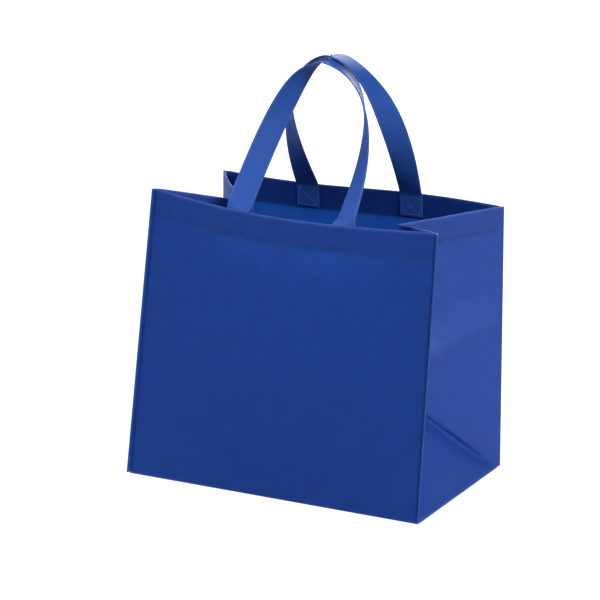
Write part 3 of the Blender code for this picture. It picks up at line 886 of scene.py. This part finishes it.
# %% Make the board
BOARD, BOARD_CORNER, BOARD_END_ROOM, BOARD_SIDE_ROOM = 0.002, 0.008, 0.006, 0.005
BOARD_EDGE, BOARD_GRAIN_DEPTH = 0.0004, 0.00005
BOARD_DARK = (0.010, 0.014, 0.030, 1.0)


def pressed_board(name, colour):
    """Dull board with a fine grain and pale scuffs."""
    material, tree, shader = new_material(name, colour)
    place = add(tree, "TexCoord").outputs["Object"]
    grain = mottle(tree, place, 700.0, 5.0)
    scuffs = mottle(tree, place, 24.0, 6.0, Roughness=0.7)
    paler = [min(1.0, c * 2.2 + 0.01) for c in colour[:3]] + [1.0]
    scuffed = ranged(tree, scuffs, 0.5, 0.75, 0.15, 0.6)
    amount = product(tree, scuffed, ranged(tree, grain, 0.35, 0.65, 0.4, 1.0))
    rough = ranged(tree, grain, 0.3, 0.7, 0.55, 0.8)
    dress(tree, shader, blended(tree, amount, colour, paler), rough, bumped(tree, (grain, BOARD_GRAIN_DEPTH)))
    return material


def base_board():
    bm = bmesh.new()
    bmesh.ops.create_cube(bm, size=1.0)
    size = (WIDTH - 2 * BOARD_END_ROOM, DEPTH - 2 * BOARD_SIDE_ROOM, BOARD)
    level = FLAP_LEVEL + CLOTH / 2 + GAP + BOARD / 2
    bmesh.ops.scale(bm, vec=size, verts=bm.verts)
    uprights = [e for e in bm.edges if abs(e.verts[0].co.z - e.verts[1].co.z) > BOARD / 2]
    bmesh.ops.bevel(bm, geom=uprights, offset=BOARD_CORNER, segments=10, profile=0.5, affect="EDGES")
    around = [e for e in bm.edges if e.calc_face_angle(0) > FOLDED_ANGLE]
    bmesh.ops.bevel(bm, geom=around, offset=BOARD_EDGE, segments=2, profile=0.5, affect="EDGES")
    bmesh.ops.translate(bm, vec=(0, 0, level), verts=bm.verts)
    mesh = bpy.data.meshes.new("stiff_board")
    bm.to_mesh(mesh)
    bm.free()
    mesh.shade_smooth()
    mesh.set_sharp_from_angle(angle=SHARP_ANGLE)
    mesh.materials.append(pressed_board("pressed_board", BOARD_DARK))
    return placed("stiff_board", mesh)


board = base_board()
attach(board, "root")
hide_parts("base_board")
print("board is", [round(v * 1000) for v in board.dimensions], "mm")

# %% [markdown]
# ## The stitches
#
# Three kinds of stitching hold the bag: a line round the whole rim that fixes the hem, a line down each
# of the four upright seams, and a box with a cross on each strap end. A painted line would stay flat in
# raking light, so each stitch is a thread of its own: a small sphere primitive, drawn out along the
# seam and sunk half into the cloth.

# %% A line of stitches
STITCH_PITCH, STITCH_LENGTH, THREAD = 0.0036, 0.0030, 0.00032
TWIST_SCALE, TWIST_DEPTH = 2500.0, 0.00004
PANEL_THREAD = (0.0025, 0.024, 0.145, 1.0)
# The gusset thread is painted darker than its cloth, as the shade in the hem line's groove.
GUSSET_SHADED_THREAD = (0.0045, 0.026, 0.150, 1.0)
STRAP_THREAD = (0.034, 0.092, 0.350, 1.0)


def sewing_thread(name, colour):
    """Dull twisted thread, with painted shade in the hollows of its twist."""
    material, tree, shader = new_material(name, colour)
    place = add(tree, "TexCoord").outputs["Object"]
    twist = mottle(tree, place, TWIST_SCALE, 2.0)
    hollow_shade = [c * 0.75 for c in colour[:3]] + [1.0]
    rough = ranged(tree, twist, 0.3, 0.7, 0.60, 0.80)
    dress(tree, shader, blended(tree, twist, hollow_shade, colour), rough, bumped(tree, (twist, TWIST_DEPTH)))
    shader.inputs["Specular IOR Level"].default_value = 0.15
    return material


def stitch_shape():
    """Points and faces of a sphere primitive that every stitch is drawn out from."""
    bm = bmesh.new()
    bmesh.ops.create_uvsphere(bm, u_segments=6, v_segments=5, radius=1.0)
    points = [vert.co.copy() for vert in bm.verts]
    faces = [[vert.index for vert in face.verts] for face in bm.faces]
    bm.free()
    return points, faces


def stitch_places(path, normals):
    """Where the stitches along path go, each lying on the side that normals point to."""
    lengths = lengths_along(path)
    count = max(1, int(lengths[-1] / STITCH_PITCH))
    goals = [lengths[-1] * (step + 0.5) / count for step in range(count)]
    places = []
    for i, share in found(goals, lengths):
        along = (path[i + 1] - path[i]).normalized()
        normal = normals[i].lerp(normals[i + 1], share)
        aside = normal.cross(along).normalized()
        normal = along.cross(aside)
        place = Matrix((aside * THREAD, normal * THREAD, along * STITCH_LENGTH / 2)).transposed().to_4x4()
        place.translation = path[i].lerp(path[i + 1], share)
        places.append(place)
    return places


def sewn(name, lines, thread):
    """One piece that holds all the stitches of some lines."""
    shape, shape_faces = stitch_shape()
    points, faces = [], []
    for path, normals in lines:
        for place in stitch_places(path, normals):
            faces += [[len(points) + i for i in face] for face in shape_faces]
            points += [place @ point for point in shape]
    mesh = bpy.data.meshes.new(name)
    mesh.from_pydata(points, [], faces)
    mesh.shade_smooth()
    mesh.materials.append(thread)
    obj = placed(name, mesh)
    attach(obj, "root")
    print(name, "has", len(points) // len(shape), "stitches")


panel_thread = sewing_thread("panel_thread", PANEL_THREAD)
gusset_shaded_thread = sewing_thread("gusset_shaded_thread", GUSSET_SHADED_THREAD)
strap_thread = sewing_thread("strap_thread", STRAP_THREAD)

# %% Hem lines
HEM_END, HEM_LINE_STEPS = 0.004, 160
GUSSET_HEM_END, GUSSET_INNER_END, FOLD_ROOM, GUSSET_LINE_STEPS = 0.003, 0.008, 0.002, 60
STRAP_ROOM = 0.001
INSIDE_DEPTH = 2 * HEM_TURN + CLOTH / 2 - 2 * STITCH_DIP


def hem_line(point, places, depth, backwards):
    """A line moved to the inside by depth (to the outside if negative), and the way that it faces."""
    places = places[::-1] if backwards else places
    row, below = ([point(p, STITCH_DOWN + down) for p in places] for down in (0, CLOTH))
    inwards = row_normals(row, below)
    facing = [n if depth > 0 else -n for n in inwards]
    return [p + n * depth for p, n in zip(row, inwards)], facing


def panel_hem_lines(face):
    """The hem's stitches outside, and inside between the strap ends."""
    shares = squeezed(HEM_LINE_STEPS, HEM_END, WIDTH)
    point, backwards = under_panel_rim(face), face == "back"
    lines = [hem_line(point, shares, -CLOTH / 2, backwards)]
    inside, facing = hem_line(point, shares, INSIDE_DEPTH, backwards)
    ends = [strap_end(face, hand) for hand in ("left", "right")]
    stretches, stretch = [], []
    for point, normal in zip(inside, facing):
        covered = min(abs(point.x - x) for x in ends) < STRAP_WIDTH / 2 + STRAP_ROOM
        near_corner = abs(point.x) > PANEL_HALF - HEM_END_ROOM - STRAP_ROOM
        if not (covered or near_corner):
            stretch.append((point, normal))
        elif stretch:
            stretches.append(stretch)
            stretch = []
    return lines + [tuple(zip(*some)) for some in [*stretches, stretch] if len(some) > 1]


def gusset_hem_lines(hand):
    """The hem's stitches outside and inside, on both halves."""
    lines = []
    for end_room, depth in ((GUSSET_HEM_END, -CLOTH / 2), (GUSSET_INNER_END, INSIDE_DEPTH)):
        reach = HALF_DEPTH - end_room
        for start, end in ((-reach, -FOLD_ROOM), (FOLD_ROOM, reach)):
            spread = [start + (end - start) * i / GUSSET_LINE_STEPS for i in range(GUSSET_LINE_STEPS + 1)]
            lines.append(hem_line(under_gusset_rim(hand), spread, depth, hand == "left"))
    return lines


panel_lines = panel_hem_lines("front") + panel_hem_lines("back")
gusset_lines = gusset_hem_lines("left") + gusset_hem_lines("right")
sewn("panel_hem_stitches", panel_lines, panel_thread)
sewn("gusset_hem_stitches", gusset_lines, gusset_shaded_thread)

# %% Upright seam lines
SEAM_LINE_FOOT, SEAM_LINE_LENGTH, SEAM_LINE_STEPS = 0.02, 0.96, 75
SEAM_LINE_OUT = 0.55


def seam_lines(face, hand):
    """Stitches on both sides of the raw edges that stand out down a corner."""
    _, sideways = seam_ways(face, hand)
    share = 0.0 if hand == "left" else 1.0
    edge = OUTWARDS[face] * HALF_DEPTH
    lines = []
    for own, sign in (("panel", -1), ("gusset", 1)):
        path = []
        for i in range(SEAM_LINE_STEPS + 1):
            h = SEAM_LINE_FOOT + SEAM_LINE_LENGTH * i / SEAM_LINE_STEPS
            base = panel_point(face, share, h) if own == "panel" else gusset_point(hand, edge, h * HEIGHT)
            path.append(seam_edge(base, face, hand, -sign, SEAM_LINE_OUT) + sideways * sign * CLOTH / 2)
        lines.append((path, [sideways * sign] * len(path)))
    return lines


corners = [(face, hand) for face in OUTWARDS for hand in SIDEWAYS]
upright_lines = [line for corner in corners for line in seam_lines(*corner)]
sewn("upright_seam_stitches", upright_lines, panel_thread)

# %% Box and cross on each strap end
BOX_HALF = 0.0095
BOX_TOP, BOX_FOOT, BOX_POINTS = 0.0035, 0.0235, 9


def box_lines(face, hand):
    """The lines of a box with a cross, on the strap's free face and on the outside of the panel."""
    x = strap_end(face, hand)
    point, right, up, inwards = panel_frame(face, x, 1)
    corners = [(-BOX_HALF, BOX_TOP), (BOX_HALF, BOX_TOP), (BOX_HALF, BOX_FOOT), (-BOX_HALF, BOX_FOOT)]
    pairs = [(0, 1), (1, 2), (2, 3), (3, 0), (0, 2), (1, 3)]
    on_strap, on_panel = [], []
    for a, b in pairs:
        (u0, v0), (u1, v1) = corners[a], corners[b]
        free, outer = [], []
        for i in range(BOX_POINTS):
            t = i / (BOX_POINTS - 1)
            u, v = u0 + (u1 - u0) * t, v0 + (v1 - v0) * t
            free.append(point + right * u - up * v + inwards * (STRAP_SEAT + STRAP / 2))
            here, _, _, inward = panel_frame(face, x + u, 1 - v / HEIGHT)
            outer.append(here - inward * CLOTH / 2)
        on_strap.append((free, [inwards] * BOX_POINTS))
        on_panel.append((outer, [-inwards] * BOX_POINTS))
    return on_strap, on_panel


strap_lines, outer_lines = [], []
for corner in corners:
    on_strap, on_panel = box_lines(*corner)
    strap_lines += on_strap
    outer_lines += on_panel
sewn("strap_end_stitches", strap_lines, strap_thread)
sewn("outer_strap_end_stitches", outer_lines, panel_thread)

# %% [markdown]
# ## Floor and light
#
# Product photographs are taken on a sweep of white paper, with large soft lights. The floor is a wide
# pale plane, which isn't part of the bag. It glows a little, as lit paper does, and that lights every
# face that leans down. The key light stands to the right, so the gusset is brighter than the front. A
# weaker one fills from the left, and one behind the bag shines through its back. A bright world would
# light all sides alike and hide the folds, so only the camera sees it bright.

# %% Floor
WHITE = (1.0, 1.0, 1.0, 1.0)
FLOOR_GREY = (0.15, 0.15, 0.15, 1.0)
FLOOR_SIZE, FLOOR_LEVEL, FLOOR_GLOW = 14, -0.0002, 0.90


def pale_floor():
    """A wide plane of glowing paper, just under the bag."""
    bpy.ops.mesh.primitive_plane_add(size=FLOOR_SIZE, location=(0, 0, FLOOR_LEVEL))
    floor = bpy.context.object
    floor.name = "floor"
    material, _, shader = new_material("pale_floor", WHITE)
    shader.inputs["Base Color"].default_value = FLOOR_GREY
    shader.inputs["Emission Color"].default_value = WHITE
    shader.inputs["Emission Strength"].default_value = FLOOR_GLOW
    shader.inputs["Roughness"].default_value = 0.9
    shader.inputs["Specular IOR Level"].default_value = 0.1
    floor.data.materials.append(material)
    print("the floor is", FLOOR_SIZE, "metres wide")


pale_floor()

# %% Lights
LIGHT_SIZE = 1.6
LIT_PLACE = Vector((0, 0, 0.18))
WORLD_LIGHT, WORLD_SEEN = 0.22, 1.0


def soft_light(name, place, power):
    """A square area light that faces the bag."""
    light = placed(name, bpy.data.lights.new(name, "AREA"))
    light.data.size = LIGHT_SIZE
    light.data.energy = power
    light.location = place
    light.rotation_euler = (LIT_PLACE - Vector(place)).to_track_quat("-Z", "Y").to_euler()


def studio_world():
    """White where the camera sees it, and a dim light everywhere else."""
    world = bpy.data.worlds.new("studio")
    world.use_nodes = True
    tree = world.node_tree
    backdrop = tree.nodes["Background"]
    backdrop.inputs["Color"].default_value = WHITE
    seen = add(tree, "LightPath").outputs["Is Camera Ray"]
    tree.links.new(ranged(tree, seen, 0.0, 1.0, WORLD_LIGHT, WORLD_SEEN), backdrop.inputs["Strength"])
    return world


soft_light("key", (2.75, -2.07, 3.07), 278)
soft_light("fill", (-2.73, -1.27, 3.52), 226)
soft_light("back", (-1.0, 4.2, 1.2), 290)
bpy.context.scene.world = studio_world()
bpy.context.scene.view_settings.view_transform = "Standard"
